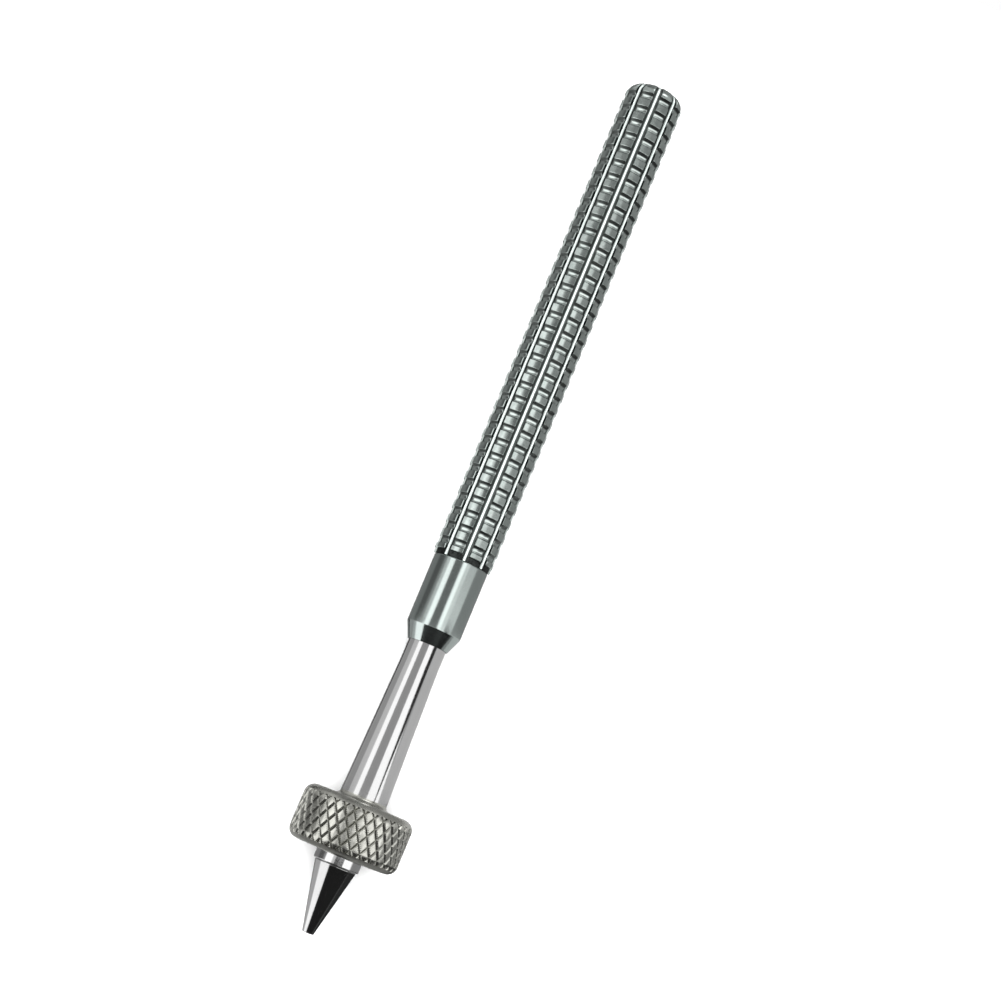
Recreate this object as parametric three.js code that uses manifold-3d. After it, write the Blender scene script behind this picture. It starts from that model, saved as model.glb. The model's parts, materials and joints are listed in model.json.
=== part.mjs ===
// Spring-loaded (automatic) center punch, lying on its side.
//
// Frame: millimetres, +Z up, the tool axis on X. The flat tip is centred on the origin and the
// butt end lies towards +X. Every axial place below is a distance from the tip.
//
// Pushing the handle towards the work drives the spindle into the collar. Its drive pin lifts the
// hammer against the main spring, until the sleeve's taper centres the trip block over the pin.
import * as THREE from 'three';
import { mergeVertices } from 'three/addons/utils/BufferGeometryUtils.js';
import Module from 'manifold-3d';

const wasm = await Module();
wasm.setup();

// ---------------------------------------------------------------- driving dimensions

const overallLength = 150;
const travel = 5; // plunger and hammer stroke up to the trip
const roundSides = 32; // sides of every turned piece, with a flat underneath
const smallSides = 20; // sides of holes and pins cut across or through small pieces
const seat = 0.05; // gap between faces that bear on each other
const fit = 0.05; // radial gap of a pressed or screwed joint

// point, lock nut and knurled ring
const tipRadius = 0.95;
const coneLength = 11.25;
const coneBaseRadius = 3.475;
const shankRadius = 1.6;
const shankEnd = 19;
const nutRadius = 3.8;
const ringFront = 12.93;
const ringRear = 21.94;
const ringRadius = 9.2;
const ringEdgeRound = 1.5;
const noseRadius = 2.6; // threaded nose of the spindle, through nut and ring

// spindle
const neckRadiusAtRing = 3.95;
const neckRadius = 3.2;
const neckTaperEnd = 45.6;
const neckFillet = 0.5;
const journalStart = 50;
const journalRadius = 2.7;
const threadedTailStart = 70.15;
const threadedTailRadius = 2;
const spindleEnd = 74;
const pinRadius = 0.95;
const pinStart = 66.3;
const pinEnd = 92.25;

// collar
const collarFront = 48.94;
const collarMouthRadius = 3.43;
const collarShoulder = 51.6;
const collarRadius = 4.59;
const collarBore = 3.32;
const collarThreadEnd = 69.3;
const wiperCentre = 52.7;
const wiperThickness = 0.56;
const wiperInnerRadius = 3.24;
const bushFront = journalStart + travel + 0.4;

// handle
const gripFront = 63.29;
const gripRadius = 5; // over the squares
const ribRadius = 4.92;
const grooveRadius = 4.55;
const gripColumns = 9;
const ribHalfAngle = 4.2; // degrees
const squareHalfAngle = 12.5; // degrees
const rowPitch = 2.55;
const squareLength = 1.2;
const firstGrooveFromButt = 2.75; // middle of the groove next to the butt
const endGrooveLength = 1;
const buttRound = 2.1;
const handleBore = 3.85;
const handleBoreEnd = 147;

// hammer, trip block and sleeve
const hammerFront = 91;
const hammerRear = 116;
const hammerRadius = 2.65;
const hammerSpigotRadius = 1.5;
const hammerSpigotLength = 3;
const slotFront = 92.2;
const slotRear = 95.4;
const slotHalfWidth = 1.55;
const slotFloor = -2;
const blockHalfWidth = 1.5;
const blockRadius = 2.7;
const blockBottom = -1.65; // from the block's own hole
const blockHoleRadius = 1.1;
const blockOffset = 1.1; // how far the block stands off centre at rest
const blockGap = 0.15; // running gap of the block, front and rear
const sleeveFront = 96.5;
const sleeveTaperEnd = 101;
const sleeveBore = 2.75;
const sleeveMouthRadius = 3.75;
const sleeveEnd = 142;

// springs: centre-line radius, wire radius and turns
const returnSpring = { coil: 2, wire: 0.3, turns: 7, start: 75.3, end: 90.6 };
const mainSpring = { coil: 2.2, wire: 0.38, turns: 11, start: 117.35, end: 141.5 };
const springStepsPerTurn = 12;
const springWireSides = 6;

// ---------------------------------------------------------------- materials

const metal = (color, roughness) => new THREE.MeshStandardMaterial({ color, roughness, metalness: 1 });
const plain = (color, roughness) => new THREE.MeshStandardMaterial({ color, roughness, metalness: 0 });

const satinChrome = metal(0x9ea3a1, 0.38);
const brightChrome = metal(0xb4b8b7, 0.14);
const knurledSteel = metal(0x8d8a80, 0.42);
const toolSteel = metal(0xa9abaa, 0.2);
const plainSteel = metal(0x7f8283, 0.45);
const springSteel = metal(0x5e6266, 0.35);
const bronze = metal(0xa9794a, 0.4);
const rubber = plain(0x1b1b1c, 0.8);
const fibre = plain(0x6b3a25, 0.85);

// ---------------------------------------------------------------- shape helpers

// A point of a profile: its place along the tool and its radius.
const at = (x, radius) => new THREE.Vector2(radius, x);

// Revolves a profile of at() points about the tool axis. It starts and ends on the axis, or is a
// loop. Outer faces run towards +X and bores run back.
function turned(profile, sides = roundSides) {
  const geometry = new THREE.LatheGeometry(profile, sides, Math.PI / sides);
  return geometry.rotateZ(-Math.PI / 2);
}

// A turned ring of square section.
function tube(front, rear, innerRadius, outerRadius, sides = roundSides) {
  return turned(
    [
      at(front, innerRadius),
      at(front, outerRadius),
      at(rear, outerRadius),
      at(rear, innerRadius),
      at(front, innerRadius),
    ],
    sides,
  );
}

// A turned solid cylinder.
function cylinder(front, rear, radius, sides = roundSides) {
  return turned([at(front, 0), at(front, radius), at(rear, radius), at(rear, 0)], sides);
}

// Profile points on an arc, its angle in degrees measured from +X towards larger radius.
function arc(x, radius, size, fromAngle, toAngle, steps) {
  const points = [];
  for (let i = 0; i <= steps; i += 1) {
    const angle = THREE.MathUtils.degToRad(fromAngle + ((toAngle - fromAngle) * i) / steps);
    points.push(at(x + size * Math.cos(angle), radius + size * Math.sin(angle)));
  }
  return points;
}

// Extrudes an outline drawn in the Y-Z plane, from one place along the tool to another.
function extrudedAlong(outline, front, rear) {
  const geometry = new THREE.ExtrudeGeometry(outline, {
    depth: rear - front,
    bevelEnabled: false,
    curveSegments: smallSides,
  });
  geometry.rotateX(Math.PI / 2).rotateZ(Math.PI / 2);
  return geometry.translate(front, 0, 0);
}

function toManifold(geometry) {
  const bare = geometry.clone();
  bare.deleteAttribute('normal');
  bare.deleteAttribute('uv');
  const merged = mergeVertices(bare);
  return new wasm.Manifold(
    new wasm.Mesh({
      numProp: 3,
      vertProperties: merged.attributes.position.array,
      triVerts: new Uint32Array(merged.index.array),
    }),
  );
}

function toGeometry(manifold) {
  const { vertProperties, triVerts } = manifold.getMesh();
  const geometry = new THREE.BufferGeometry();
  geometry.setAttribute('position', new THREE.BufferAttribute(vertProperties, 3));
  geometry.setIndex(new THREE.BufferAttribute(triVerts, 1));
  return geometry;
}

// What is left of a geometry after others are cut out of it.
function cut(geometry, ...tools) {
  const left = tools.reduce((solid, tool) => solid.subtract(toManifold(tool)), toManifold(geometry));
  return toGeometry(left);
}

// A coil spring along the tool axis.
class CoilCurve extends THREE.Curve {
  constructor({ coil, turns, start, end }) {
    super();
    Object.assign(this, { coil, turns, start, end });
  }

  getPoint(t, target = new THREE.Vector3()) {
    const angle = 2 * Math.PI * this.turns * t;
    return target.set(
      THREE.MathUtils.lerp(this.start, this.end, t),
      this.coil * Math.cos(angle),
      this.coil * Math.sin(angle),
    );
  }
}

function coilSpring(spring) {
  const wire = new THREE.Shape();
  for (let i = 0; i < springWireSides; i += 1) {
    const angle = (2 * Math.PI * i) / springWireSides;
    const place = [spring.wire * Math.cos(angle), spring.wire * Math.sin(angle)];
    if (i === 0) {
      wire.moveTo(...place);
    } else {
      wire.lineTo(...place);
    }
  }
  return new THREE.ExtrudeGeometry(wire, {
    steps: spring.turns * springStepsPerTurn,
    extrudePath: new CoilCurve(spring),
    bevelEnabled: false,
  });
}

// ---------------------------------------------------------------- the plunger's pieces

function punchPoint() {
  return turned([
    at(0, 0),
    at(0, tipRadius),
    at(coneLength, coneBaseRadius),
    at(coneLength, shankRadius),
    at(shankEnd, shankRadius),
    at(shankEnd, 0),
  ]);
}

function knurledRing() {
  const round = ringEdgeRound;
  const outer = ringRadius / Math.cos(Math.PI / roundSides); // its flats touch the true circle
  return turned([
    at(ringFront, noseRadius + fit),
    ...arc(ringFront + round, outer - round, round, 180, 90, 4),
    ...arc(ringRear - round, outer - round, round, 90, 0, 4),
    at(ringRear, noseRadius + fit),
    at(ringFront, noseRadius + fit),
  ]);
}

function plungerSpindle() {
  const neckStart = ringRear + seat;
  return turned([
    at(shankEnd + 2 * seat, 0),
    at(shankEnd + 2 * seat, shankRadius + fit),
    at(coneLength + seat, shankRadius + fit),
    at(coneLength + seat, noseRadius),
    at(neckStart, noseRadius),
    ...arc(neckStart + neckFillet, neckRadiusAtRing + neckFillet, neckFillet, 180, 270, 3),
    at(neckTaperEnd, neckRadius),
    at(journalStart, neckRadius),
    at(journalStart, journalRadius),
    at(threadedTailStart, journalRadius),
    at(threadedTailStart, threadedTailRadius),
    at(spindleEnd, threadedTailRadius),
    at(spindleEnd, pinRadius + fit),
    at(pinStart - seat, pinRadius + fit),
    at(pinStart - seat, 0),
  ]);
}

function drivePin() {
  const crown = 0.3; // bevel on the striking end
  return turned([
    at(pinStart, 0),
    at(pinStart, pinRadius),
    at(pinEnd - crown, pinRadius),
    at(pinEnd, pinRadius - crown),
    at(pinEnd, 0),
  ]);
}

// ---------------------------------------------------------------- the handle's pieces

function frontCollar() {
  const grooveHalf = wiperThickness / 2 + seat;
  const grooveDepth = wiperInnerRadius + wiperThickness + seat;
  return turned([
    at(collarFront, collarBore),
    at(collarFront, collarMouthRadius),
    at(collarShoulder, collarRadius),
    at(gripFront - seat, collarRadius),
    at(gripFront - seat, handleBore - fit),
    at(collarThreadEnd, handleBore - fit),
    at(collarThreadEnd, collarBore),
    at(wiperCentre + grooveHalf, collarBore),
    at(wiperCentre + grooveHalf, grooveDepth),
    at(wiperCentre - grooveHalf, grooveDepth),
    at(wiperCentre - grooveHalf, collarBore),
    at(collarFront, collarBore),
  ]);
}

function wiperRing() {
  const half = wiperThickness / 2;
  return turned(arc(wiperCentre, wiperInnerRadius + half, half, 180, -180, 8));
}

function tripSleeve() {
  return turned([
    at(sleeveFront, sleeveMouthRadius),
    at(sleeveFront, handleBore - fit),
    at(sleeveEnd, handleBore - fit),
    at(sleeveEnd, sleeveBore),
    at(sleeveTaperEnd, sleeveBore),
    at(sleeveFront, sleeveMouthRadius),
  ]);
}

function springSeat() {
  const spigotLength = 4;
  const discFront = sleeveEnd + 2 * seat;
  return turned([
    at(discFront - spigotLength, 0),
    at(discFront - spigotLength, hammerSpigotRadius),
    at(discFront, hammerSpigotRadius),
    at(discFront, handleBore - 2 * fit),
    at(discFront + 1.2, handleBore - 2 * fit),
    at(discFront + 1.2, 0),
  ]);
}

// The grip's outline at one place along the handle: angles in degrees from the top, and radii.
// Raised ribs run the whole length and each transverse groove stops at them.
function gripOutline(squareRadius, ribHeight) {
  const column = 360 / gripColumns;
  const outline = [];
  for (let i = 0; i < gripColumns; i += 1) {
    const rib = i * column;
    const square = rib + column / 2;
    outline.push(
      { angle: rib - ribHalfAngle, radius: ribHeight },
      { angle: rib + ribHalfAngle, radius: ribHeight },
      { angle: square - squareHalfAngle, radius: squareRadius },
      { angle: square + squareHalfAngle, radius: squareRadius },
    );
  }
  return outline;
}

// Places along the grip, each with the radius of its squares and of its ribs.
function gripStations() {
  const stations = [
    { x: gripFront, square: grooveRadius, rib: ribRadius },
    { x: gripFront + endGrooveLength - 0.3, square: grooveRadius, rib: ribRadius },
  ];
  const lastGroove = overallLength - firstGrooveFromButt;
  const rows = Math.floor((lastGroove - gripFront - endGrooveLength) / rowPitch);
  const grooveHalf = (rowPitch - squareLength) / 2;
  stations.push({ x: gripFront + endGrooveLength, square: gripRadius, rib: ribRadius });
  for (let row = rows; row >= 0; row -= 1) {
    const groove = lastGroove - row * rowPitch;
    stations.push(
      { x: groove - grooveHalf, square: gripRadius, rib: ribRadius },
      { x: groove, square: grooveRadius, rib: ribRadius },
      { x: groove + grooveHalf, square: gripRadius, rib: ribRadius },
    );
  }
  const roundSteps = 4;
  for (let i = 1; i <= roundSteps; i += 1) {
    const angle = (Math.PI / 2) * (i / roundSteps);
    const drop = buttRound * (1 - Math.cos(angle));
    stations.push({
      x: overallLength - buttRound * (1 - Math.sin(angle)),
      square: gripRadius - drop,
      rib: ribRadius - drop,
    });
  }
  return stations;
}

function handleGrip() {
  const stations = gripStations();
  const sides = 4 * gripColumns;
  const positions = [gripFront, 0, 0];
  for (const { x, square, rib } of stations) {
    for (const { angle, radius } of gripOutline(square, rib)) {
      const turn = THREE.MathUtils.degToRad(angle);
      positions.push(x, radius * Math.sin(turn), radius * Math.cos(turn));
    }
  }
  positions.push(overallLength, 0, 0);
  const lastVertex = positions.length / 3 - 1;
  const vertex = (station, side) => 1 + station * sides + (side % sides);
  const faces = [];
  for (let side = 0; side < sides; side += 1) {
    faces.push(0, vertex(0, side), vertex(0, side + 1));
    for (let station = 0; station + 1 < stations.length; station += 1) {
      const [a, b] = [vertex(station, side), vertex(station, side + 1)];
      const [c, d] = [vertex(station + 1, side), vertex(station + 1, side + 1)];
      faces.push(a, c, b, b, c, d);
    }
    faces.push(lastVertex, vertex(stations.length - 1, side + 1), vertex(stations.length - 1, side));
  }
  const body = new THREE.BufferGeometry();
  body.setAttribute('position', new THREE.Float32BufferAttribute(positions, 3));
  body.setIndex(faces);
  return cut(body, cylinder(gripFront - 1, handleBoreEnd, handleBore));
}

// ---------------------------------------------------------------- the trip mechanism

function hammer() {
  const body = turned([
    at(hammerFront, 0),
    at(hammerFront, hammerRadius),
    at(hammerRear, hammerRadius),
    at(hammerRear, hammerSpigotRadius),
    at(hammerRear + hammerSpigotLength, hammerSpigotRadius),
    at(hammerRear + hammerSpigotLength, 0),
  ]);
  const slotTop = 2 * hammerRadius;
  const slot = new THREE.BoxGeometry(slotRear - slotFront, 2 * slotHalfWidth, slotTop - slotFloor);
  slot.translate((slotFront + slotRear) / 2, 0, (slotTop + slotFloor) / 2);
  const pinHole = cylinder(hammerFront - 1, slotRear + travel + 1, blockHoleRadius, smallSides);
  return cut(body, slot, pinHole);
}

function tripBlock() {
  const shoulder = Math.asin(blockHalfWidth / blockRadius);
  const outline = new THREE.Shape();
  outline.moveTo(-blockHalfWidth, blockOffset + blockBottom);
  outline.lineTo(blockHalfWidth, blockOffset + blockBottom);
  const endAngle = Math.PI / 2 + shoulder;
  outline.absarc(0, blockOffset, blockRadius, Math.PI / 2 - shoulder, endAngle, false);
  const hole = new THREE.Path();
  hole.absarc(0, blockOffset, blockHoleRadius, 0, 2 * Math.PI, true);
  outline.holes.push(hole);
  return extrudedAlong(outline, slotFront + blockGap, slotRear - blockGap);
}

// A bowed leaf between the slot's floor and the block's flat underside.
function tripSpring() {
  const thickness = 0.15;
  const footHalf = 1.35;
  const footLevel = slotFloor + seat;
  const rise = blockOffset + blockBottom - seat - footLevel - thickness;
  const steps = 10;
  const bow = [];
  for (let i = 0; i <= steps; i += 1) {
    const y = footHalf * ((2 * i) / steps - 1);
    const lift = (rise * (1 + Math.cos((Math.PI * y) / footHalf))) / 2;
    bow.push(new THREE.Vector2(y, footLevel + lift));
  }
  const crown = bow.map(({ x, y }) => new THREE.Vector2(x, y + thickness)).reverse();
  const outline = new THREE.Shape([...bow, ...crown]);
  return extrudedAlong(outline, slotFront + 2 * blockGap, slotRear - 2 * blockGap);
}

// ---------------------------------------------------------------- assembly

const centerPunch = new THREE.Group();

function add(parent, name, geometry, material) {
  const mesh = new THREE.Mesh(geometry, material.clone());
  mesh.name = name;
  parent.add(mesh);
}

function addHandle() {
  const bushRear = collarThreadEnd - 2 * seat;
  const washerFront = collarThreadEnd + seat;
  const spacerFront = sleeveEnd + 4 * seat + 1.2;
  const bore = handleBore - 2 * fit;
  const handle = new THREE.Group();
  add(handle, 'handle_grip', handleGrip(), satinChrome);
  add(handle, 'front_collar', frontCollar(), brightChrome);
  add(handle, 'wiper_ring', wiperRing(), rubber);
  add(handle, 'guide_bush', tube(bushFront, bushRear, journalRadius + fit, collarBore - fit), bronze);
  add(handle, 'buffer_washer', tube(washerFront, washerFront + 0.7, journalRadius + fit, bore), fibre);
  add(handle, 'trip_sleeve', tripSleeve(), plainSteel);
  add(handle, 'main_spring', coilSpring(mainSpring), springSteel);
  add(handle, 'spring_seat', springSeat(), plainSteel);
  add(handle, 'preload_spacer', cylinder(spacerFront, handleBoreEnd - seat, bore), plainSteel);
  centerPunch.add(handle);
}

function addPlunger() {
  const stopFront = threadedTailStart + seat;
  const stopRear = spindleEnd + 0.1;
  const washerFront = stopRear + seat;
  const plunger = new THREE.Group();
  add(plunger, 'punch_point', punchPoint(), toolSteel);
  const nut = tube(coneLength + seat, ringFront - seat, noseRadius + fit, nutRadius);
  add(plunger, 'point_lock_nut', nut, brightChrome);
  add(plunger, 'knurled_ring', knurledRing(), knurledSteel);
  add(plunger, 'plunger_spindle', plungerSpindle(), brightChrome);
  const stop = tube(stopFront, stopRear, threadedTailRadius + fit, handleBore - 3 * fit);
  add(plunger, 'stop_collar', stop, plainSteel);
  add(plunger, 'drive_pin', drivePin(), toolSteel);
  const washer = tube(washerFront, washerFront + 0.6, pinRadius + 2 * fit, handleBore - 4 * fit);
  add(plunger, 'return_spring_washer', washer, plainSteel);
  add(plunger, 'return_spring', coilSpring(returnSpring), springSteel);
  centerPunch.add(plunger);
}

function addStriker() {
  const washerFront = hammerRear + seat;
  const striker = new THREE.Group();
  add(striker, 'hammer', hammer(), toolSteel);
  const washer = tube(washerFront, washerFront + 0.7, hammerSpigotRadius + fit, hammerRadius);
  add(striker, 'main_spring_washer', washer, plainSteel);
  add(striker, 'trip_block', tripBlock(), toolSteel);
  add(striker, 'trip_spring', tripSpring(), springSteel);
  centerPunch.add(striker);
}

addHandle();
addPlunger();
addStriker();

export default centerPunch;
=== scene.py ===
"""Looks of the spring-loaded center punch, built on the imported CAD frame.

Metres throughout. The tool axis is X, its tip at the origin, and +Z is up. Turned pieces are
outlines of (place along the axis, radius) revolved about the axis. An angle round the tool is
measured from the top, +Z, towards -Y.
"""

import json
import math

import bpy
import numpy as np
from mathutils import Matrix, Vector

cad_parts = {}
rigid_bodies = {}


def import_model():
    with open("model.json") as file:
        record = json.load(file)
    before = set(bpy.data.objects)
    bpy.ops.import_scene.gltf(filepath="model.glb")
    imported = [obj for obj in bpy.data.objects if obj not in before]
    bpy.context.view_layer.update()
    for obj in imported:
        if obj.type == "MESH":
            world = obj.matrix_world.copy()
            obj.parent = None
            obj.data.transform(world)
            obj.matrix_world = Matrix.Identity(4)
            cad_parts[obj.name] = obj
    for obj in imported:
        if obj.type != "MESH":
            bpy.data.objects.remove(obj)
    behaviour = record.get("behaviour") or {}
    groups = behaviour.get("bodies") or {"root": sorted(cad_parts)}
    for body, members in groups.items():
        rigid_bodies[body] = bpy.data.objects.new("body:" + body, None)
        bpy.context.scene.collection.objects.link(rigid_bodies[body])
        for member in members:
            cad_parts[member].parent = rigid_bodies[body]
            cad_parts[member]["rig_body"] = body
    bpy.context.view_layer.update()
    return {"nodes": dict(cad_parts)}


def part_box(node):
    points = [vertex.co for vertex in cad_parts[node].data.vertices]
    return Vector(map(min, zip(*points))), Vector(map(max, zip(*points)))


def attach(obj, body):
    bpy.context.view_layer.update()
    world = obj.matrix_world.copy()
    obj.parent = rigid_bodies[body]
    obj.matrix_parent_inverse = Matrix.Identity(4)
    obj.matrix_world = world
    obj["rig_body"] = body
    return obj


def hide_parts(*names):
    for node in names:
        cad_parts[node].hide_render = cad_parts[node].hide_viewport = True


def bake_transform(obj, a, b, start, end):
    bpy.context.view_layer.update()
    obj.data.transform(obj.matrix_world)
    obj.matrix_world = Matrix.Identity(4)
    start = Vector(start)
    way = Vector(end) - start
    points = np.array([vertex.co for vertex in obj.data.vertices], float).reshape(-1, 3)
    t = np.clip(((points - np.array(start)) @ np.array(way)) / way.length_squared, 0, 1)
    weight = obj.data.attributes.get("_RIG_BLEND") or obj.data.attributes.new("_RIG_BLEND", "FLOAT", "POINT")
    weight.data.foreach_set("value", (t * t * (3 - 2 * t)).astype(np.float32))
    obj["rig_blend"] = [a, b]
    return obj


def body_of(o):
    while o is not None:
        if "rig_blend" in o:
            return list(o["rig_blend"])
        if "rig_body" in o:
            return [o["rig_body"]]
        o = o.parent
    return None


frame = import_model()

MM = 0.001
CAD_SIDES = 32   # the CAD's turned pieces have flats on top and underneath
FIT = 0.05 * MM  # gap left between pieces that are screwed or pressed together


# ------------------------------------------------------------------ outlines

def span(node):
    """Front and rear end of a turned CAD node along the tool axis, and its radius."""
    low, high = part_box(node)
    return low.x, high.x, high.z / math.cos(math.pi / CAD_SIDES)


def soften(corners, steps=5, brace=0.03 * MM):
    """An outline of (x, radius, rounding) corners, each corner replaced by an arc.

    A point just outside each end of an arc keeps the straight faces beside it flat.
    """
    points = []
    for i, (x, r, rounding) in enumerate(corners):
        here = Vector((x, r))
        if rounding == 0:
            points.append((x, r))
            continue
        before = (Vector(corners[i - 1][:2]) - here).normalized()
        after = (Vector(corners[(i + 1) % len(corners)][:2]) - here).normalized()
        half = before.angle(after) / 2
        centre = here + (before + after).normalized() * (rounding / math.sin(half))
        reach = rounding / math.tan(half)
        start = here + before * reach - centre
        end = here + after * reach - centre
        points.append(tuple(here + before * (reach + brace)))
        for k in range(steps + 1):
            points.append(tuple(centre + rounding * start.slerp(end, k / steps)))
        points.append(tuple(here + after * (reach + brace)))
    return points


# ------------------------------------------------------------------ meshes

def add_piece(name, shape, material, node, sharp_above=40, between=None):
    """A mesh object that replaces a CAD node and rides on its body, or bends between two."""
    vertices, faces = shape
    mesh = bpy.data.meshes.new(name)
    mesh.from_pydata([tuple(v) for v in vertices], [], faces)
    mesh.validate()
    mesh.materials.append(material)
    mesh.shade_smooth()
    mesh.set_sharp_from_angle(angle=math.radians(sharp_above))
    piece = bpy.data.objects.new(name, mesh)
    bpy.context.scene.collection.objects.link(piece)
    if between:
        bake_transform(piece, *between)
    else:
        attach(piece, body_of(frame["nodes"][node])[0])
    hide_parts(node)
    return piece


def store(piece, attribute, values):
    """Keeps one number for each vertex, for the material to read."""
    data = piece.data.attributes.new(attribute, "FLOAT", "POINT").data
    data.foreach_set("value", np.asarray(values, np.float32))


def ring_of_points(x, radii, angles):
    """The points of one ring of a loft, or the single point of a pole on the axis."""
    if np.max(radii) < 1e-9:
        return [(x, 0.0, 0.0)]
    return list(zip(np.full(len(angles), x), -radii * np.sin(angles), radii * np.cos(angles)))


def loft(rings):
    """Vertices and faces of rings of points joined side by side, with a pole at each end."""
    sides = max(len(ring) for ring in rings)
    starts = np.cumsum([0] + [len(ring) for ring in rings])
    faces = []
    for i in range(len(rings) - 1):
        a, b = int(starts[i]), int(starts[i + 1])
        for side in range(sides):
            after = (side + 1) % sides
            if len(rings[i]) == 1:
                faces.append((a, b + after, b + side))
            elif len(rings[i + 1]) == 1:
                faces.append((a + side, a + after, b))
            else:
                faces.append((a + side, a + after, b + after, b + side))
    return [point for ring in rings for point in ring], faces


def revolve(outline, sides=128):
    """An outline turned about the axis. It starts and ends on the axis, or joins up."""
    angles = np.linspace(0, 2 * math.pi, sides, endpoint=False)
    rings = [ring_of_points(x, np.full(sides, r), angles) for x, r in outline]
    if outline[0][1] > 0:
        vertices, faces = loft([*rings, rings[0]])
        count = len(rings) * sides
        return vertices[:count], [tuple(v % count for v in face) for face in faces]
    return loft(rings)


# ------------------------------------------------------------------ materials

class Nodes:
    """Short calls that add shader nodes and return their output sockets."""

    def __init__(self, tree):
        self.tree = tree
        tree.nodes.clear()

    def new(self, kind, **settings):
        node = self.tree.nodes.new(kind)
        for key, value in settings.items():
            setattr(node, key, value)
        return node

    def plug(self, socket, value):
        if isinstance(value, bpy.types.NodeSocket):
            self.tree.links.new(value, socket)
        else:
            socket.default_value = value

    def math(self, operation, *values):
        node = self.new("ShaderNodeMath", operation=operation)
        for socket, value in zip(node.inputs, values):
            self.plug(socket, value)
        return node.outputs[0]

    def between(self, value, low, high, to_low=0.0, to_high=1.0, smooth=False):
        node = self.new("ShaderNodeMapRange")
        node.interpolation_type = "SMOOTHSTEP" if smooth else "LINEAR"
        for socket, number in zip(node.inputs, (value, low, high, to_low, to_high)):
            self.plug(socket, number)
        return node.outputs[0]

    def mix(self, share, first, second):
        node = self.new("ShaderNodeMix", data_type="RGBA")
        self.plug(node.inputs[0], share)
        self.plug(node.inputs[6], first)
        self.plug(node.inputs[7], second)
        return node.outputs[2]

    def noise(self, scale, detail=3.0, stretch=(1, 1, 1)):
        place = self.new("ShaderNodeTexCoord").outputs["Object"]
        mapping = self.new("ShaderNodeMapping")
        self.plug(mapping.inputs["Vector"], place)
        mapping.inputs["Scale"].default_value = stretch
        node = self.new("ShaderNodeTexNoise")
        self.plug(node.inputs["Vector"], mapping.outputs[0])
        node.inputs["Scale"].default_value = scale
        node.inputs["Detail"].default_value = detail
        return node.outputs["Fac"]


# Painted shade: the near-black mixed into the grooves, the gaps and the knurl's groove bottoms.
PAINTED_SHADE_TONE = (0.01, 0.011, 0.01, 1)
# Painted highlight: the pale tone on the ribs' crowns, which the overhead lamp lights.
HIGHLIGHT_TONE = (0.82, 0.9, 0.87, 1)


def metal(name, color, dark, roughness, turning=0.0, grain=0.0, cloud=140, metallic=1.0,
          painted_groove_shade=False, painted_highlight=False):
    """Metal with cloudy tone, an uneven polish and fine lathe marks round the axis.

    With painted shade or a painted highlight it follows a mesh attribute: one is 1 where shade
    is painted dark into the grooves, and one is 1 where a highlight is painted pale on the ribs' crowns.
    """
    material = bpy.data.materials.new(name)
    material.use_nodes = True
    nodes = Nodes(material.node_tree)
    shader = nodes.new("ShaderNodeBsdfPrincipled")
    output = nodes.new("ShaderNodeOutputMaterial")
    nodes.tree.links.new(shader.outputs[0], output.inputs[0])
    shader.inputs["Metallic"].default_value = metallic

    clouds = nodes.noise(cloud, detail=4)
    specks = nodes.noise(2600, detail=2)
    tone = nodes.mix(nodes.between(clouds, 0.35, 0.7, 0.0, 0.55), color, dark)
    polish = nodes.between(specks, 0.3, 0.75, roughness * 0.85, roughness * 1.2)
    # Painted shade: darkens and roughens the tone where the mesh attribute marks it.
    if painted_groove_shade:
        depth = nodes.new("ShaderNodeAttribute", attribute_name="painted_shade").outputs["Fac"]
        shaded = nodes.math("MULTIPLY", depth, nodes.between(specks, 0.2, 0.8, 0.85, 1))
        tone = nodes.mix(shaded, tone, PAINTED_SHADE_TONE)
        polish = nodes.math("ADD", polish, nodes.math("MULTIPLY", shaded, 0.3))
    # Painted highlight: pales the tone and lowers the metallic share, so the overhead lamp lights the ribs'
    # crowns.
    if painted_highlight:
        highlit = nodes.new("ShaderNodeAttribute", attribute_name="rib_highlight").outputs["Fac"]
        highlight_share = nodes.math("MULTIPLY", highlit, nodes.between(clouds, 0.3, 0.6, 0.8, 1))
        tone = nodes.mix(highlight_share, tone, HIGHLIGHT_TONE)
        nodes.plug(shader.inputs["Metallic"], nodes.between(highlight_share, 0, 1, metallic, 0.3))
    nodes.plug(shader.inputs["Base Color"], tone)
    nodes.plug(shader.inputs["Roughness"], polish)

    marks = nodes.noise(1, detail=2, stretch=(9000, 60, 60))
    height = nodes.math(
        "ADD", nodes.math("MULTIPLY", marks, turning), nodes.math("MULTIPLY", specks, grain)
    )
    bump = nodes.new("ShaderNodeBump")
    bump.inputs["Distance"].default_value = 0.01 * MM
    nodes.plug(bump.inputs["Height"], height)
    nodes.plug(shader.inputs["Normal"], bump.outputs[0])
    return material


def grey(value, warm=0.0):
    """A grey of one linear value, warmer, or below 0 greener and cooler."""
    return (value * (1 + warm), value * (1 + 0.25 * abs(warm)), value * (1 - warm), 1)


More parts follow.
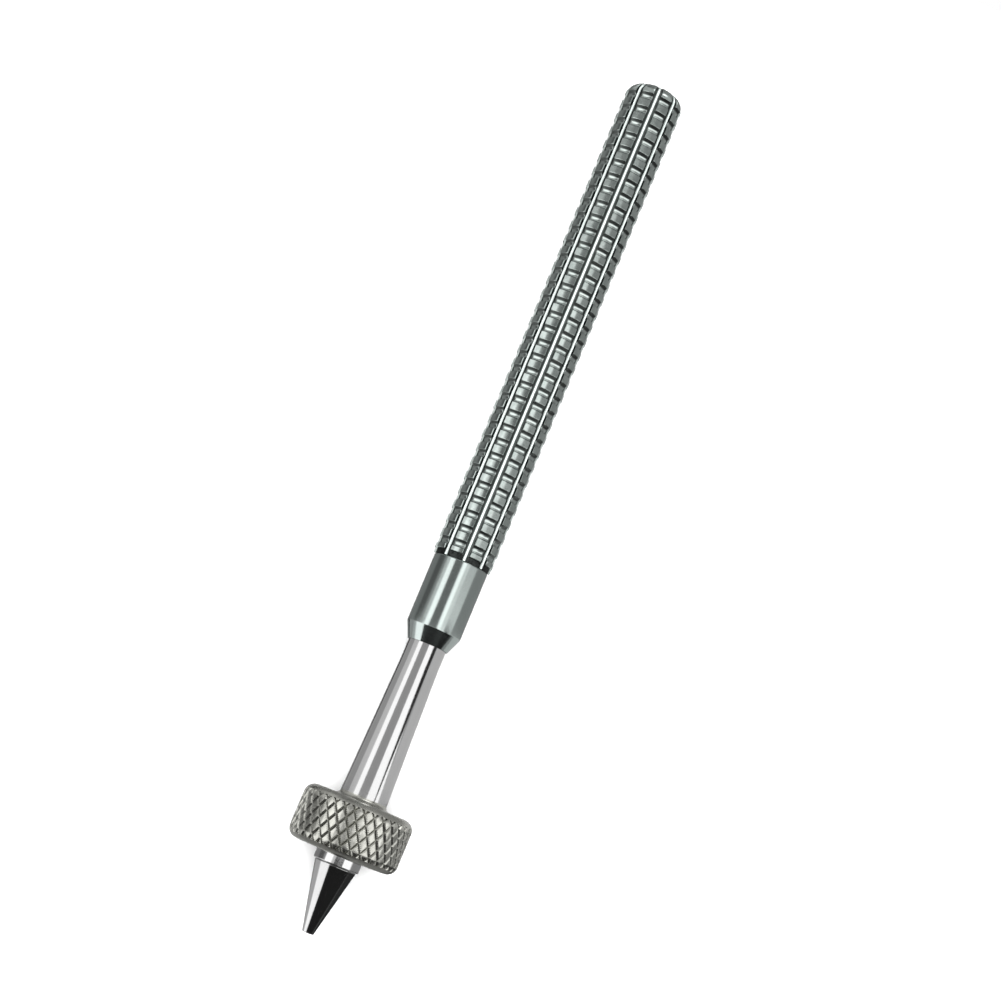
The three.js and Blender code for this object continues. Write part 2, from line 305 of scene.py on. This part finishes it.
GRIP_CHROME = metal("grip_chrome", (0.66, 0.73, 0.7, 1), (0.4, 0.46, 0.44, 1), 0.15, 0.1, 0.3,
                    cloud=600, painted_groove_shade=True, painted_highlight=True)
COLLAR_CHROME = metal("collar_chrome", (0.61, 0.68, 0.66, 1), (0.56, 0.62, 0.6, 1), 0.13, 0.2, 0.03)
NECK_CHROME = metal("neck_chrome", grey(0.74), grey(0.68), 0.12, 0.15, 0.02)
KNURLED_STEEL = metal("knurled_steel", (0.69, 0.69, 0.64, 1), (0.47, 0.47, 0.42, 1), 0.25, 0, 0.6,
                      cloud=1500, painted_groove_shade=True)
POINT_STEEL = metal("point_steel", grey(0.7), grey(0.6), 0.1, 0.4, 0.05)
PLAIN_STEEL = metal("plain_steel", grey(0.5), grey(0.4), 0.35, 0.8, 0.3)
SPRING_STEEL = metal("spring_steel", grey(0.34, -0.03), grey(0.26), 0.3, 0, 0.3)
BRONZE = metal("bronze", (0.62, 0.38, 0.19, 1), (0.5, 0.28, 0.13, 1), 0.32, 0.6, 0.3)
RUBBER = metal("rubber", grey(0.02), grey(0.03), 0.7, 0, 1, metallic=0)
FIBRE = metal("fibre", (0.2, 0.07, 0.035, 1), (0.13, 0.045, 0.025, 1), 0.8, 0, 2, metallic=0)


# ------------------------------------------------------------------ handle

GRIP_COLUMNS = 9
GRIP_RADIUS = 5 * MM       # over the squares
RIB_RADIUS = 4.93 * MM
GAP_RADIUS = 4.5 * MM      # bottom of the narrow gap on each side of a rib
RIB_HALF_WIDTH = 0.35 * MM
RIB_GAP = 0.28 * MM
SQUARE_ROUNDING = 0.12 * MM
ROW_PITCH = 2.55 * MM
GROOVE_WIDTH = 1.35 * MM
GROOVE_DEPTH = 0.4 * MM
END_GROOVE = 1.0 * MM      # plain groove between the squares and the collar
BUTT_ROUND = 2.1 * MM
FIRST_GROOVE = 2.75 * MM   # middle of the groove next to the butt, from the butt
GAP_SHADE = 0.85           # painted shade at the bottom of the gaps beside the ribs
UNSHADED_HEIGHT = 0.8         # share of a rib's or square's height above which no shade is painted
HIGHLIGHT_HEIGHT = 0.72         # share of a rib's height above which its crown is painted pale as a highlight


def grip_angles():
    """Angles round the grip, with the share of a rib's and of a square's height at each."""
    column = 2 * math.pi / GRIP_COLUMNS
    rib = RIB_HALF_WIDTH / GRIP_RADIUS
    gap = rib + RIB_GAP / GRIP_RADIUS
    rounding = SQUARE_ROUNDING / GRIP_RADIUS
    flat = column - 2 * (gap + rounding)
    shares = []
    for i in range(GRIP_COLUMNS):
        middle = i * column
        for t in (-1, -0.9, -0.6, -0.2, 0.2, 0.6, 0.9, 1):
            shares.append((middle + t * rib, math.sqrt(1 - t * t), 0))
        shares.append((middle + gap, 0, 0))
        for t in (0.15, 0.5, 1):
            shares.append((middle + gap + t * rounding, 0, math.sqrt(1 - (1 - t) ** 2)))
        for t in (0.2, 0.4, 0.6, 0.8):
            shares.append((middle + gap + rounding + t * flat, 0, 1))
        for t in (1, 0.5, 0.15):
            shares.append((middle + column - gap - t * rounding, 0, math.sqrt(1 - (1 - t) ** 2)))
        shares.append((middle + column - gap, 0, 0))
    return np.array(shares).T


def groove_depth(t):
    """Share of the groove's depth, from its edge nearer the butt, 0, to its other edge, 1.

    A straight wall runs down to a gentle ramp, and an arc rises from its foot.
    """
    wall, foot = 0.32, 0.67
    if t <= wall:
        return 0.82 * t / wall
    if t <= foot:
        return 0.82 + 0.18 * (t - wall) / (foot - wall)
    return math.sqrt(1 - ((t - foot) / (1 - foot)) ** 2)


def grip_stations(front, rear):
    """Places along the grip: x, depth of the squares, drop of the butt's rounding, painted shade."""
    full_depth = GRIP_RADIUS - GAP_RADIUS
    # The end groove is painted dark with shade, fading as it rises to the squares.
    stations = [
        (front, full_depth, 0, 1),
        (front + 0.85 * END_GROOVE, full_depth, 0, 1),
        (front + 0.9 * END_GROOVE, 0.3 * full_depth, 0, 0.5),
        (front + END_GROOVE, 0, 0, 0),
    ]
    last = rear - FIRST_GROOVE
    rows = math.floor((last - front - END_GROOVE) / ROW_PITCH)
    for row in range(rows, -1, -1):
        edge = last - row * ROW_PITCH + GROOVE_WIDTH / 2
        for t in (1.04, 1, 0.93, 0.84, 0.72, 0.6, 0.45, 0.3, 0.22, 0.13, 0.06, 0, -0.04):
            depth = groove_depth(t) if 0 < t < 1 else 0
            # Painted shade: dark on the groove's straight wall, fainter on the arc at its other edge.
            shade_share = 0.85 if 0 < t < 0.31 else 0.35 if 0.8 < t < 1 else 0
            stations.append((edge - t * GROOVE_WIDTH, GROOVE_DEPTH * depth, 0, shade_share))
    for k in range(1, 9):
        turn = math.radians(90 * k / 8)
        x = rear - BUTT_ROUND * (1 - math.sin(turn))
        stations.append((x, 0, BUTT_ROUND * (1 - math.cos(turn)), 0))
    return stations


def handle():
    """The grip: columns of raised squares between long ribs, over a plain blind bore."""
    front, rear, _ = span("handle_grip")
    bore_rear = span("preload_spacer")[1] + FIT
    bore = span("trip_sleeve")[2] + FIT
    angles, rib, square = grip_angles()
    # Painted shade in the gaps beside the ribs.
    gaps = np.clip(2.75 * (UNSHADED_HEIGHT - np.maximum(rib, square)), 0, GAP_SHADE)
    # Painted highlight on the ribs' crowns.
    crowns = np.clip((rib - HIGHLIGHT_HEIGHT) / 0.2, 0, 1)
    rings, painted_shade, rib_highlight = [], [], []
    for x, radius in ((bore_rear, 0), (bore_rear, bore), (front, bore)):
        rings.append(ring_of_points(x, np.full(len(angles), radius), angles))
        painted_shade.append(np.zeros(len(rings[-1])))
        rib_highlight.append(np.zeros(len(rings[-1])))
    for x, depth, drop, shade_share in grip_stations(front, rear):
        plain = (drop / BUTT_ROUND) ** 2
        squares = GAP_RADIUS + (GRIP_RADIUS - GAP_RADIUS - depth) * square
        ribs = GAP_RADIUS + (RIB_RADIUS - GAP_RADIUS) * rib
        radii = np.maximum(squares, ribs) * (1 - plain) + GRIP_RADIUS * plain
        rings.append(ring_of_points(x, radii - drop, angles))
        painted_shade.append((1 - plain) * np.maximum(gaps, shade_share * (rib == 0)))
        rib_highlight.append((1 - plain) * crowns)
    rings.append([(rear, 0.0, 0.0)])
    painted_shade.append(np.zeros(1))
    rib_highlight.append(np.zeros(1))
    piece = add_piece("textured_grip", loft(rings), GRIP_CHROME, "handle_grip", 50)
    store(piece, "painted_shade", np.concatenate(painted_shade))
    store(piece, "rib_highlight", np.concatenate(rib_highlight))


def collar():
    """The ferrule, with its chamfered mouth, wiper groove and threaded tail."""
    front, rear, radius = span("front_collar")
    shoulder = span("handle_grip")[0] - FIT
    chamfer_end = front + 2.66 * MM
    mouth = 3.43 * MM
    bore = 3.32 * MM
    thread = 3.8 * MM
    wiper_front, wiper_rear, wiper_radius = span("wiper_ring")
    outline = soften([
        (front, bore, 0),
        (front, mouth, 0.04 * MM),
        (chamfer_end, radius, 0.25 * MM),
        (shoulder, radius, 0.15 * MM),
        (shoulder, thread, 0),
        (rear, thread, 0.1 * MM),
        (rear, bore, 0),
        (wiper_rear + FIT, bore, 0),
        (wiper_rear + FIT, wiper_radius + FIT, 0),
        (wiper_front - FIT, wiper_radius + FIT, 0),
        (wiper_front - FIT, bore, 0),
    ])
    add_piece("collar", revolve(outline), COLLAR_CHROME, "front_collar")


handle()
collar()


# ------------------------------------------------------------------ plunger

NOSE_RADIUS = 2.6 * MM      # the spindle's threaded nose, through the ring and the lock nut
NOSE_BORE = NOSE_RADIUS + FIT
RING_STARTS = 34            # knurling grooves of each hand round the ring
RING_HELIX = math.radians(30)
RING_FRONT_BAND = 0.75 * MM
RING_REAR_BAND = 0.95 * MM
RING_EDGE_ROUND = 1.7 * MM
KNURL_DEPTH = 0.27 * MM
STEPS_PER_CELL = 12
KNURL_WALL = 2 / STEPS_PER_CELL  # width of a groove's wall, in cells
KNURL_OFFSET = 3            # steps by which the pattern is shifted along the ring
BAND_SHADE = 0.35           # painted shade on the front band, darkest beside the knurl


def ring_radius(x, front, rear, radius):
    """Radius of the ring's plain body, with its rounded edges."""
    inside = min(x - front, rear - x)
    if inside >= RING_EDGE_ROUND:
        return radius
    reach = RING_EDGE_ROUND - inside
    return radius - RING_EDGE_ROUND + math.sqrt(RING_EDGE_ROUND**2 - reach**2)


def knurl(across, along):
    """Height and painted shade of the knurl, 0 to 1, at a place counted in cells round and along the ring.

    Two families of V grooves leave diamonds with nearly flat tops between them.
    """
    first, second = along + across, along - across
    off_first = np.abs(first - np.round(first))
    off_second = np.abs(second - np.round(second))
    near, far = np.minimum(off_first, off_second), np.maximum(off_first, off_second)
    wall = np.clip(near / KNURL_WALL, 0, 1)
    crown = 0.9 + 0.2 * near
    # Painted shade along the bottoms of the grooves, left out where they cross.
    shade_share = np.clip(1 - near / 0.06, 0, 1) * np.clip(far / 0.25, 0, 1)
    return wall * crown, shade_share


def knurled_ring():
    """The ring: a knurl of diamonds between two smooth bands, with rounded edges."""
    front, rear, _ = span("knurled_ring")
    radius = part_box("knurled_ring")[1].z
    sides = RING_STARTS * STEPS_PER_CELL
    cell_width = 2 * math.pi * radius / RING_STARTS
    cell_length = cell_width / math.tan(RING_HELIX)
    band_front, band_rear = front + RING_FRONT_BAND, rear - RING_REAR_BAND
    rows = round((band_rear - band_front) / cell_length * STEPS_PER_CELL)
    angles = np.linspace(0, 2 * math.pi, sides, endpoint=False)
    across = np.arange(sides) / STEPS_PER_CELL

    rings = [ring_of_points(front, np.full(sides, NOSE_BORE), angles)]
    painted_shade = [np.zeros(sides)]
    for k in range(6):
        x = front + RING_FRONT_BAND * (k / 5) ** 2
        rings.append(ring_of_points(x, np.full(sides, ring_radius(x, front, rear, radius)), angles))
        # Painted shade on the front band, darker towards the knurl.
        painted_shade.append(np.full(sides, BAND_SHADE * k / 5))
    knurl_start = len(rings)
    for row in range(rows + 1):
        x = band_front + (band_rear - band_front) * row / rows
        height, shade_share = knurl(across, (row + KNURL_OFFSET) / STEPS_PER_CELL)
        body = ring_radius(x, front, rear, radius)
        rings.append(ring_of_points(x, body - KNURL_DEPTH * (1 - height), angles))
        painted_shade.append(shade_share)
    knurl_end = len(rings) - 1
    for k in range(6):
        x = rear - RING_REAR_BAND * (1 - k / 5) ** 2
        rings.append(ring_of_points(x, np.full(sides, ring_radius(x, front, rear, radius)), angles))
        painted_shade.append(np.zeros(sides))
    rings.append(ring_of_points(rear, np.full(sides, NOSE_BORE), angles))
    painted_shade.append(np.zeros(sides))

    count = len(rings) * sides
    vertices, faces = loft([*rings, rings[0]])
    creased = []
    for index, face in enumerate(faces):
        row, side = divmod(index, sides)
        a, b, c, d = (v % count for v in face)
        step = row - knurl_start + KNURL_OFFSET
        if not knurl_start <= row < knurl_end:
            creased.append((a, b, c, d))
        elif (step + side + 1) % STEPS_PER_CELL == 0:
            creased += [(a, b, d), (b, c, d)]
        else:
            creased += [(a, b, c), (a, c, d)]
    shape = vertices[:count], creased
    piece = add_piece(
        "knurled_ring_band", shape, KNURLED_STEEL, "knurled_ring", sharp_above=25
    )
    store(piece, "painted_shade", np.concatenate(painted_shade))


def neck():
    """The spindle: nose, tapered neck with a fillet at the ring, journal and bored tail."""
    front, rear, _ = span("plunger_spindle")
    ring_rear = span("knurled_ring")[1] + 0.01 * MM  # just clear of the ring's rear face
    shank = 1.65 * MM
    shank_end = span("punch_point")[1] + 0.1 * MM
    root, throat = 3.95 * MM, 3.2 * MM
    fillet = 0.8 * MM
    taper_end, journal_start = 45.6 * MM, 50 * MM
    journal = 2.7 * MM
    tail, tail_start = 2 * MM, 70.15 * MM
    pin_hole, pin_start = 1 * MM, span("drive_pin")[0] - FIT
    outline = soften([
        (shank_end, 0, 0),
        (shank_end, shank, 0),
        (front, shank, 0),
        (front, NOSE_RADIUS, 0.1 * MM),
        (ring_rear, NOSE_RADIUS, 0),
        (ring_rear, root + fillet + 0.05 * MM, 0),
        (ring_rear, root, fillet),
        (taper_end, throat, 8 * MM),
        (journal_start, throat, 0.1 * MM),
        (journal_start, journal, 0.1 * MM),
        (tail_start, journal, 0.1 * MM),
        (tail_start, tail, 0),
        (rear, tail, 0.2 * MM),
        (rear, pin_hole, 0),
        (pin_start, pin_hole, 0),
        (pin_start, 0, 0),
    ])
    piece = add_piece("neck", revolve(outline), NECK_CHROME, "plunger_spindle")
    piece.data.materials.append(KNURLED_STEEL)  # the fillet is left satin, like the ring
    for face in piece.data.polygons:
        x, y, z = face.center
        beside_ring = ring_rear < x < ring_rear + fillet - 0.05 * MM
        if beside_ring and math.hypot(y, z) > root - 0.1 * MM:
            face.material_index = 1


def lock_nut():
    """The narrow boss between the cone and the ring."""
    front, rear, radius = span("point_lock_nut")
    outline = soften([
        (front, NOSE_BORE, 0),
        (front, radius, 0.18 * MM),
        (rear, radius, 0.1 * MM),
        (rear, NOSE_BORE, 0),
    ])
    add_piece("lock_nut", revolve(outline), NECK_CHROME, "point_lock_nut")


def point():
    """The cone with its small flat, and the shank that screws into the spindle's nose."""
    front, rear, base = span("punch_point")
    tip_flat, shank = 0.95 * MM, 1.6 * MM
    cone_end = span("point_lock_nut")[0] - FIT
    outline = soften([
        (front, 0, 0),
        (front, tip_flat, 0.08 * MM),
        (cone_end, base, 0.12 * MM),
        (cone_end, shank, 0.05 * MM),
        (rear, shank, 0.3 * MM),
        (rear, 0, 0),
    ])
    add_piece("cone_point", revolve(outline), POINT_STEEL, "punch_point")


knurled_ring()
neck()
lock_nut()
point()


# ------------------------------------------------------------------ springs

WIRE_SIDES = 12
STEPS_PER_TURN = 36
MAIN_COIL = 2.2 * MM, 0.38 * MM, 11  # radius of the coil, radius of the wire, turns
RETURN_COIL = 2 * MM, 0.3 * MM, 7
LEAF_THICKNESS = 0.15 * MM


def coil(node, radius, wire, turns):
    """A compression spring of round wire, with a closed turn at each end."""
    front, rear, _ = span(node)
    length = rear - front - 2 * wire
    closed = 2.1 * wire
    turn = np.linspace(0, turns, turns * STEPS_PER_TURN + 1)
    place = np.interp(turn, [0, 1, turns - 1, turns], [0, closed, length - closed, length])
    angle = 2 * math.pi * turn
    outward = np.column_stack([np.zeros(len(turn)), np.cos(angle), np.sin(angle)])
    path = radius * outward
    path[:, 0] = front + wire + place
    ahead = np.gradient(path, axis=0)
    ahead /= np.linalg.norm(ahead, axis=1)[:, None]
    across = np.cross(ahead, outward)
    rings = [[path[0]]]
    for centre, out, side in zip(path, outward, across):
        rings.append([
            centre + wire * (math.cos(a) * out + math.sin(a) * side)
            for a in np.linspace(0, 2 * math.pi, WIRE_SIDES, endpoint=False)
        ])
    return loft([*rings, [path[-1]]])


def leaf(node):
    """A bowed strip, bent across the tool, that stands on its two ends."""
    low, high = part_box(node)
    rise = high.z - low.z - LEAF_THICKNESS
    rings = []
    for y in np.linspace(low.y, high.y, 33):
        z = low.z + rise * (1 + math.cos(math.pi * y / high.y)) / 2
        top = z + LEAF_THICKNESS
        rings.append([(low.x, y, z), (low.x, y, top), (high.x, y, top), (high.x, y, z)])
    ends = [[tuple(np.mean(ring, axis=0))] for ring in (rings[0], rings[-1])]
    return loft([ends[0], *rings, ends[1]])


def springs():
    """The springs that shorten bend between the two bodies they press apart."""
    front, rear, _ = span("main_spring")
    main_ends = Vector((front, 0, 0)), Vector((rear, 0, 0))
    add_piece(
        "main_coil", coil("main_spring", *MAIN_COIL), SPRING_STEEL,
        "main_spring", between=("striker", "handle", *main_ends),
    )
    add_piece(
        "return_coil", coil("return_spring", *RETURN_COIL), SPRING_STEEL,
        "return_spring",
    )
    low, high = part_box("trip_spring")
    leaf_ends = Vector((0, 0, low.z)), Vector((0, 0, high.z))
    add_piece(
        "trip_leaf", leaf("trip_spring"), SPRING_STEEL,
        "trip_spring", between=("striker", "trip_block", *leaf_ends),
    )


springs()


# ------------------------------------------------------------------ inner pieces kept from the CAD

INNER_FINISH = {
    "wiper_ring": RUBBER,
    "guide_bush": BRONZE,
    "buffer_washer": FIBRE,
    "trip_sleeve": PLAIN_STEEL,
    "spring_seat": PLAIN_STEEL,
    "preload_spacer": PLAIN_STEEL,
    "stop_collar": PLAIN_STEEL,
    "drive_pin": POINT_STEEL,
    "return_spring_washer": PLAIN_STEEL,
    "hammer": POINT_STEEL,
    "main_spring_washer": PLAIN_STEEL,
    "trip_block": POINT_STEEL,
}

for node, finish in INNER_FINISH.items():
    frame["nodes"][node].data.materials.clear()
    frame["nodes"][node].data.materials.append(finish)


# ------------------------------------------------------------------ studio

FOCAL_LENGTH = 75.2         # in millimetres, as the sensor's width is
SENSOR_WIDTH = 36
CAMERA_DISTANCE = 341 * MM  # to the middle of the picture
AIM = Vector((75.4 * MM, -1.93 * MM, 0))
TILT = math.radians(9.5)    # the butt end is the farther one
LEAN = math.radians(22.57)  # of the tool from the picture's upright, to the right
CAMERA_SIDE = math.radians(-2.2)  # round the tool axis, towards the picture's left

# What the polished metal mirrors, in degrees: name, angles round the tool axis from straight
# up towards -Y, softness, angles towards the butt, softness, brightness. Later panels lie over
# earlier ones.
PANELS = (
    ("left flank", (-200, -70), 16, (-12, 100), 8, 0.22),
    ("left shade", (-106, -76), 14, (-12, 100), 8, 0.11),
    ("low left lamp", (-200, -92), 14, (-34, -9), 6, 0.5),
    ("rear panel", (-120, 120), 20, (27, 62), 9, 0.5),
    ("rear lamp", (5, 52), 14, (46, 61), 5, 2.2),
    ("front left lamp", (-92, -20), 10, (-60, -9), 6, 1.3),
    ("left wide panel", (-70, -50), 14, (-14, 9), 3, 0.33),
    ("left strip", (-48, -27), 7, (-14, 9.5), 3, 1.5),
    ("left grip lamp", (-62, -36), 8, (8.5, 17), 6, 1.3),
    ("left groove lamp", (-62, -22), 8, (-14, 4.5), 3, 1.5),
    ("middle fill", (-26, 5), 7, (-8, 3), 3, 0.7),
    ("middle gap", (-26, 5), 7, (3, 16), 3, 0.16),
    ("right strip", (7, 25), 8, (-14, 17.5), 6, 1.5),
    ("right panel", (25, 74), 12, (-14, 9), 3, 0.7),
    ("right grip panel", (25, 74), 12, (9, 14), 8, 0.33),
    ("right grip lamp", (22, 38), 7, (8.5, 17), 6, 1.3),
    ("right groove lamp", (6, 92), 6, (-14, 4.5), 3, 1.4),
    ("right flank", (76, 200), 10, (-100, 100), 2, 0.27),
    ("front flag", (-84, 88), 10, (-100, -48), 8, 0.015),
    ("chamfer flag", (-52, 88), 5, (-60, -29), 3, 0.015),
    ("chamfer slit", (-48, 84), 5, (-40, -38.5), 1, 0.09),
    ("cone flag", (-33, 90), 5, (-31, -15), 3, 0.015),
    ("cone side flag", (86, 200), 8, (-21, -5), 4, 0.03),
)
SURROUNDINGS = 0.27

# Cards beside the neck, for it to mirror: name, angles at the ring's end, angles at the
# collar's end, and brightness.
NECK_CARDS = (
    ("tent", (-180, 180), (-180, 180), 0.34),
    ("left_edge", (-180, -120), (-180, -120), 0.42),
    ("left_panel", (-84, -53), (-84, -53), 0.6),
    ("left_lamp", (-53, -29), (-53, -29), 1.3),
    ("right_lamp", (12, 74), (10, 40), 1.3),
    ("right_panel", (74, 180), (58, 180), 0.54),
    ("right_seam", (50, 54.5), (37, 59), 0.005),
    ("left_seam", (-143, -135), (-147, -129), 0.005),
)
NUT_SHADE = (-12, 30), 0.1    # angles and brightness of a card for the lock nut to mirror
CARD_DISTANCE = 62 * MM
CARD_STEP = 0.5 * MM          # by which each card lies nearer than the one before it
CARD_SHIFTS = 3 * MM, 8 * MM  # how far nearer the butt the neck mirrors a card, at its two ends
NUT_CARD_REACH = 8 * MM       # of the lock nut's card, ahead of the nut

DOME_RADIUS = 3.2
SHEET = -0.2, 0.17, 0.2       # the floor's front and rear from where the ring rests, half width
UNDERSIDE_GAP = 0.02 * MM
LAMP_PLACE = 0.1, 0, 1.4
LAMP_SIZE = 1.6
LAMP_POWER = 60               # watts


def studio_object(name, mesh, *hidden_from):
    """An object that these kinds of ray don't meet."""
    thing = bpy.data.objects.new(name, mesh)
    for ray in hidden_from:
        setattr(thing, f"visible_{ray}", False)
    bpy.context.scene.collection.objects.link(thing)
    return thing


def surroundings():
    """A world of soft-edged panels, which the metal mirrors and which lights nothing else."""
    world = bpy.data.worlds.new("studio")
    bpy.context.scene.world = world
    world.use_nodes = True
    nodes = Nodes(world.node_tree)
    direction = nodes.new("ShaderNodeTexCoord").outputs["Generated"]
    parts = nodes.new("ShaderNodeSeparateXYZ")
    nodes.plug(parts.inputs[0], direction)
    along, side, up = parts.outputs
    to_degrees = 180 / math.pi
    leftward = nodes.math("MULTIPLY", side, -1.0)
    round_axis = nodes.math("MULTIPLY", nodes.math("ARCTAN2", leftward, up), to_degrees)
    round_axis = nodes.math("SUBTRACT", round_axis, math.degrees(CAMERA_SIDE))
    to_butt = nodes.math("MULTIPLY", nodes.math("ARCSINE", along), to_degrees)

    def inside(value, limits, soft):
        low, high = limits
        rise = nodes.between(value, low - soft / 2, low + soft / 2, smooth=True)
        fall = nodes.between(value, high - soft / 2, high + soft / 2, 1.0, 0.0, smooth=True)
        return nodes.math("MULTIPLY", rise, fall)

    light = (*[SURROUNDINGS] * 3, 1)
    for _, around, around_soft, lengthwise, lengthwise_soft, level in PANELS:
        share = nodes.math(
            "MULTIPLY",
            inside(round_axis, around, around_soft),
            inside(to_butt, lengthwise, lengthwise_soft),
        )
        light = nodes.mix(share, light, (level, level, level, 1))
    background = nodes.new("ShaderNodeBackground")
    nodes.plug(background.inputs["Color"], light)
    output = nodes.new("ShaderNodeOutputWorld")
    nodes.tree.links.new(background.outputs[0], output.inputs[0])
    world.cycles_visibility.diffuse = False
    world.cycles.sampling_method = "MANUAL"
    world.cycles.sample_map_resolution = 1024


def card(name, front, rear, level, radius):
    """A curved card that only reflections show, from front to rear, each (x, low, high angle)."""
    steps, rows = 24, 12
    vertices = []
    for row in range(rows + 1):
        x, low, high = np.array(front) + (np.array(rear) - front) * row / rows
        angles = np.radians(np.linspace(low, high, steps)) + CAMERA_SIDE
        vertices += ring_of_points(x, np.full(steps, radius), angles)
    starts = [row * steps + k for row in range(rows) for k in range(steps - 1)]
    mesh = bpy.data.meshes.new(name)
    mesh.from_pydata(vertices, [], [(v, v + 1, v + steps + 1, v + steps) for v in starts])
    mesh.materials.append(emission(name, level))
    sheet = studio_object(f"card_{name}", mesh, "camera", "diffuse", "shadow", "transmission")


def cards():
    """The cards that the neck and the lock nut mirror."""
    front = span("knurled_ring")[1] + CARD_SHIFTS[0]
    rear = span("front_collar")[0] + CARD_SHIFTS[1]
    for i, (name, at_ring, at_collar, level) in enumerate(NECK_CARDS):
        card(name, (front, *at_ring), (rear, *at_collar), level, CARD_DISTANCE - i * CARD_STEP)
    angles, level = NUT_SHADE
    nut_front, nut_rear, _ = span("point_lock_nut")
    reach = nut_front - NUT_CARD_REACH
    card("nut_shade", (reach, *angles), (nut_rear, *angles), level, CARD_DISTANCE)


def emission(name, strength):
    """A plain white glow."""
    material = bpy.data.materials.new(name)
    material.use_nodes = True
    nodes = Nodes(material.node_tree)
    shader = nodes.new("ShaderNodeEmission")
    shader.inputs["Strength"].default_value = strength
    output = nodes.new("ShaderNodeOutputMaterial")
    nodes.tree.links.new(shader.outputs[0], output.inputs[0])
    return material


def paper():
    """Matt white floor with a faint mottle."""
    material = bpy.data.materials.new("paper")
    material.use_nodes = True
    nodes = Nodes(material.node_tree)
    shader = nodes.new("ShaderNodeBsdfDiffuse")
    tone = nodes.between(nodes.noise(30, detail=2), 0.3, 0.7, 0.88, 0.9)
    color = nodes.new("ShaderNodeCombineColor")
    for socket in color.inputs:
        nodes.plug(socket, tone)
    nodes.plug(shader.inputs["Color"], color.outputs[0])
    output = nodes.new("ShaderNodeOutputMaterial")
    nodes.tree.links.new(shader.outputs[0], output.inputs[0])
    return material


def floor():
    """A flat sheet that touches the ring and the butt's lower edge, as the tool lies on it."""
    ring_rear = span("knurled_ring")[1]
    ring_bottom = Vector((ring_rear - RING_EDGE_ROUND, 0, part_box("knurled_ring")[0].z))
    butt = span("handle_grip")[1]
    butt_bottom = Vector((butt - BUTT_ROUND, 0, -GRIP_RADIUS))
    slope = math.atan2(butt_bottom.z - ring_bottom.z, butt_bottom.x - ring_bottom.x)
    front, rear, half = SHEET
    outline = [(front, -half), (rear, -half), (rear, half), (front, half)]
    for name, depth, material in (
        ("floor", 0, paper()),
        ("floor_underside", UNDERSIDE_GAP, emission("underside", 1.0)),
    ):
        mesh = bpy.data.meshes.new(name)
        mesh.from_pydata([(x, y, -depth) for x, y in outline], [], [(0, 1, 2, 3)])
        mesh.materials.append(material)
        sheet = studio_object(name, mesh, "glossy", "diffuse")
        sheet.location = ring_bottom
        sheet.rotation_euler = (0, -slope, 0)


def backdrop():
    """A pale dome behind the floor, seen by the camera alone."""
    outline = [(-DOME_RADIUS, 0)]
    for degrees in range(5, 180, 5):
        angle = math.radians(degrees)
        outline.append((-DOME_RADIUS * math.cos(angle), DOME_RADIUS * math.sin(angle)))
    outline.append((DOME_RADIUS, 0))
    vertices, faces = revolve(outline, 64)
    mesh = bpy.data.meshes.new("backdrop")
    mesh.from_pydata(vertices, [], faces)
    mesh.materials.append(emission("backdrop", 1.0))
    dome = studio_object("backdrop", mesh, "glossy", "diffuse", "shadow", "transmission")


def floor_lamp():
    """A broad overhead lamp that lights the floor and leaves no mark on the chrome."""
    data = bpy.data.lights.new("overhead", "AREA")
    data.shape = "DISK"
    data.size = LAMP_SIZE
    data.energy = LAMP_POWER
    lamp = bpy.data.objects.new("overhead", data)
    lamp.location = LAMP_PLACE
    lamp.visible_glossy = False
    lamp.visible_camera = False
    bpy.context.scene.collection.objects.link(lamp)


surroundings()
cards()
floor()
backdrop()
floor_lamp()
bpy.context.scene.view_settings.view_transform = "Standard"


# ------------------------------------------------------------------ camera

def camera():
    """A camera that looks down on the tool, with the butt farther away than the tip."""
    roll = Matrix.Rotation(CAMERA_SIDE, 3, "X")
    back = roll @ Vector((-math.sin(TILT), 0, math.cos(TILT)))
    along = roll @ Vector((math.cos(TILT), 0, math.sin(TILT)))
    side = roll @ Vector((0, 1, 0))
    up = math.cos(LEAN) * along + math.sin(LEAN) * side
    right = up.cross(back)
    data = bpy.data.cameras.new("camera")
    data.lens = FOCAL_LENGTH
    data.sensor_width = SENSOR_WIDTH
    data.clip_start = 0.01
    data.clip_end = 20
    cam = bpy.data.objects.new("camera", data)
    turn = Matrix((right, up, back)).transposed()
    cam.matrix_world = Matrix.Translation(AIM + CAMERA_DISTANCE * back) @ turn.to_4x4()
    bpy.context.scene.collection.objects.link(cam)
    bpy.context.scene.camera = cam


camera()
